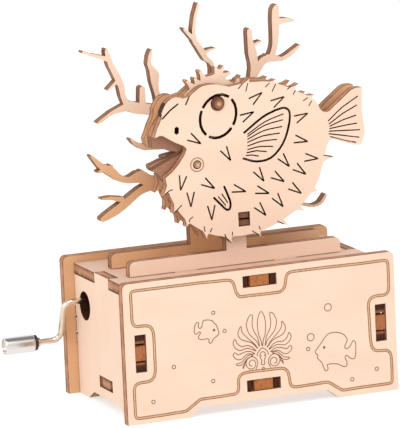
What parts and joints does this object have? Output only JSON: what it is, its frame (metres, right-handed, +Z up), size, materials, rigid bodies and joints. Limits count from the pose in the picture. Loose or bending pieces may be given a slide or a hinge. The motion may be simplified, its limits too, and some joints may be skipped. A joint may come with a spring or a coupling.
{
  "type": "hand-cranked music box",
  "caption": "Wooden music box with a crank at the left, slotted plywood panels, a layered puffer fish in front of a coral branch and a pinned-cylinder comb movement under the deck.",
  "frame": {"origin": "middle of the bounding box at the surface that the feet stand on", "axes": "+Z up, +X along the box away from the crank, +Y from the engraved front panel to the rear panel"},
  "size_m": [0.1398, 0.0684, 0.153],
  "materials": {
    "front_panel": "laser-cut plywood with burnt edges",
    "rear_panel": "laser-cut plywood with burnt edges",
    "left_side_panel": "laser-cut plywood with burnt edges",
    "right_side_panel": "laser-cut plywood with burnt edges",
    "top_deck": "laser-cut plywood with burnt edges",
    "bottom_panel": "laser-cut plywood with burnt edges",
    "fish_front_plate": "laser-cut plywood with burnt edges",
    "fish_core_plate": "laser-cut plywood with burnt edges",
    "fish_rear_plate": "laser-cut plywood with burnt edges",
    "coral_plate": "laser-cut plywood with burnt edges",
    "cross_peg": "laser-cut plywood with burnt edges",
    "eye_dowel": "dark-stained end grain",
    "mouth_dowel": "dark-stained end grain",
    "crank_rod": "bent wire, polished",
    "crank_knob": "polished",
    "knob_ring": "black washer",
    "worm": "machined",
    "shaft_collar": "turned",
    "movement_base": "die cast, matt",
    "pin_cylinder": "turned, with pins",
    "worm_wheel": "machined",
    "cylinder_arbor": "turned",
    "comb": "ground spring steel",
    "comb_screw_1": "zinc plated",
    "comb_screw_2": "zinc plated",
    "base_screw_1": "zinc plated",
    "base_screw_2": "zinc plated",
    "base_screw_3": "zinc plated",
    "base_screw_4": "zinc plated"
  },
  "bodies": {
    "box": {"front_panel": "front_panel", "rear_panel": "rear_panel", "left_side_panel": "left_side_panel", "right_side_panel": "right_side_panel", "top_deck": "top_deck", "bottom_panel": "bottom_panel", "fish_front_plate": "fish_front_plate", "fish_core_plate": "fish_core_plate", "fish_rear_plate": "fish_rear_plate", "coral_plate": "coral_plate", "cross_peg": "cross_peg", "eye_dowel": "eye_dowel", "mouth_dowel": "mouth_dowel", "movement_base": "movement_base", "comb": "comb", "comb_screw_1": "comb_screw_1", "comb_screw_2": "comb_screw_2", "base_screw_1": "base_screw_1", "base_screw_2": "base_screw_2", "base_screw_3": "base_screw_3", "base_screw_4": "base_screw_4"},
    "crank": {"crank_rod": "crank_rod", "worm": "worm", "shaft_collar": "shaft_collar"},
    "knob": {"crank_knob": "crank_knob", "knob_ring": "knob_ring"},
    "cylinder": {"pin_cylinder": "pin_cylinder", "worm_wheel": "worm_wheel", "cylinder_arbor": "cylinder_arbor"}
  },
  "joints": [
    {"name": "crank_turn", "type": "hinge", "parent": "box", "child": "crank", "pos_m": [-0.03873, 0.02235, 0.0384], "axis": [1, 0, 0], "continuous": true},
    {"name": "knob_spin", "type": "hinge", "parent": "crank", "child": "knob", "pos_m": [-0.06373, 0.02885, 0.0226], "axis": [1, 0, 0], "continuous": true},
    {"name": "cylinder_turn", "type": "hinge", "parent": "box", "child": "cylinder", "pos_m": [-0.01463, 0.00815, 0.0297], "axis": [0, 1, 0], "continuous": true}
  ],
  "couplings": [
    {"joint": "cylinder_turn", "follows": "crank_turn", "ratio": -0.05}
  ]
}
